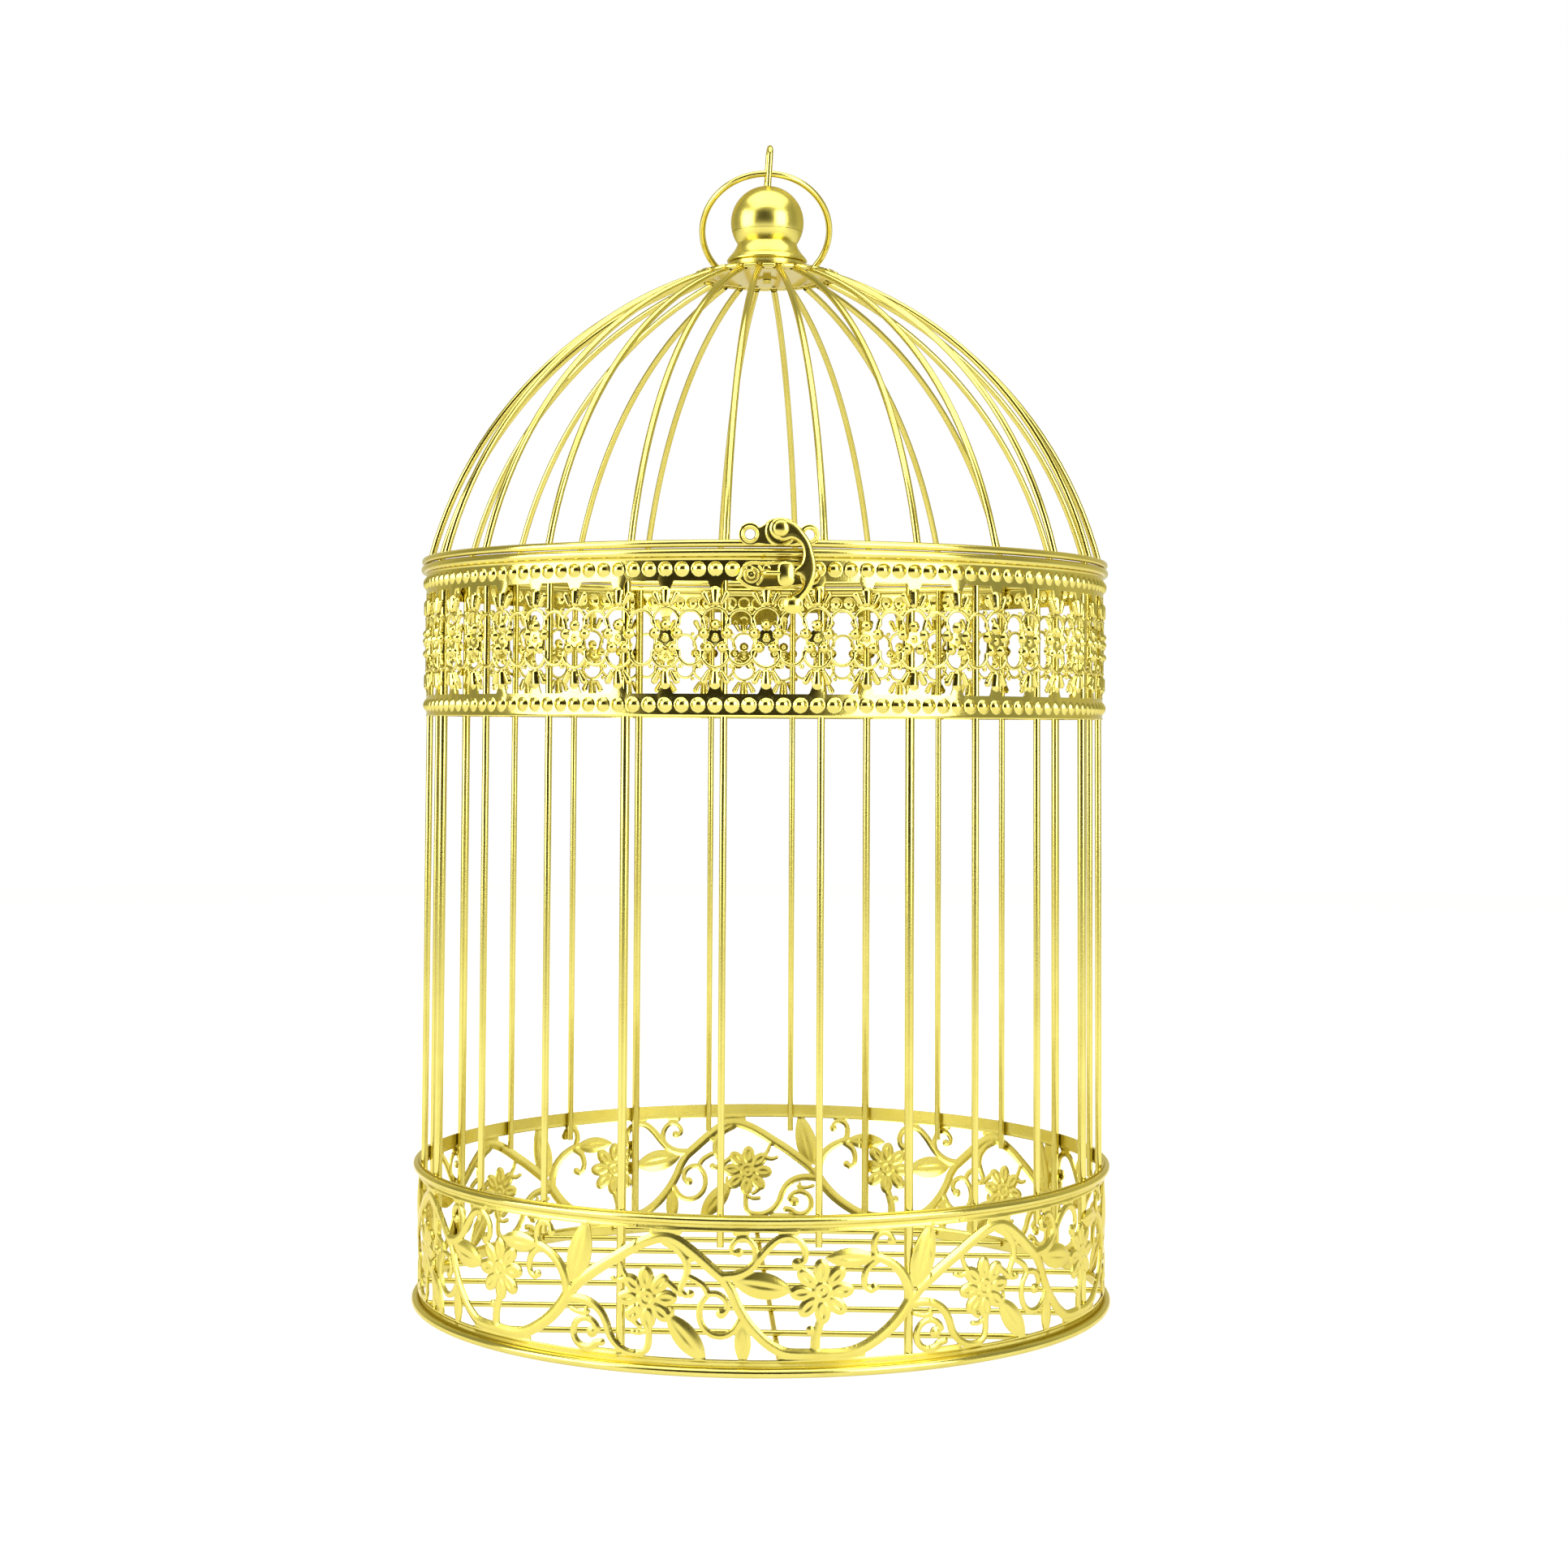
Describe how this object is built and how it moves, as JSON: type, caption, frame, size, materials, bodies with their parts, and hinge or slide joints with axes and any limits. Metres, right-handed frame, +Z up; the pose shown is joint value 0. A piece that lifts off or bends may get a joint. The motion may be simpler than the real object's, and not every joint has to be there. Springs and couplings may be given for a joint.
{
  "type": "wedding card box",
  "caption": "Round gold wire birdcage card holder with a pierced lace band, floral base band, hinged dome lid, front swing latch and a hanging ring on a ball finial.",
  "frame": {"origin": "centre of the base, on the surface the bottom ring stands on", "axes": "+Z up, -Y towards the front where the latch is, +X to the right seen from the front"},
  "size_m": [0.2428, 0.2476, 0.3995],
  "materials": {
    "gold_paint": "satin",
    "antique_brass": "polished"
  },
  "bodies": {
    "cage": {"base_ring_lower": "gold_paint", "base_ring_upper": "gold_paint", "base_filigree_band": "gold_paint", "floor_wires": "gold_paint", "floor_cross_wire": "gold_paint", "posts": "gold_paint", "infill_wires": "gold_paint", "lace_band": "gold_paint", "body_rim_ring": "gold_paint", "catch_plate": "antique_brass", "catch_rivets": "antique_brass", "catch_stud": "antique_brass", "hinge_leaf_body": "antique_brass", "hinge_rivets": "antique_brass", "hinge_pin": "antique_brass"},
    "lid": {"hinge_leaf_lid": "antique_brass", "lid_ring": "gold_paint", "dome_wires": "gold_paint", "crown_cap": "gold_paint", "crown_washer": "gold_paint", "crown_nut": "antique_brass", "finial_collar": "gold_paint", "finial_ball_lower": "gold_paint", "finial_ball_upper": "gold_paint", "eye_bolt": "gold_paint", "hook_plate": "antique_brass", "hook_rivet": "antique_brass"},
    "latch_hook": {"clasp_hook": "antique_brass"},
    "hanger": {"hanging_ring": "gold_paint"}
  },
  "joints": [
    {"name": "lid_hinge", "type": "hinge", "parent": "cage", "child": "lid", "pos_m": [0, 0.1212, 0.2527], "axis": [-1, 0, 0], "range_deg": [0, 105]},
    {"name": "latch_swing", "type": "hinge", "parent": "lid", "child": "latch_hook", "pos_m": [0.0002, -0.1203, 0.2582], "axis": [0, -1, 0], "range_deg": [0, 100]},
    {"name": "ring_swing", "type": "hinge", "parent": "lid", "child": "hanger", "pos_m": [0, 0, 0.3897], "axis": [1, 0, 0], "range_deg": [0, 283]}
  ]
}
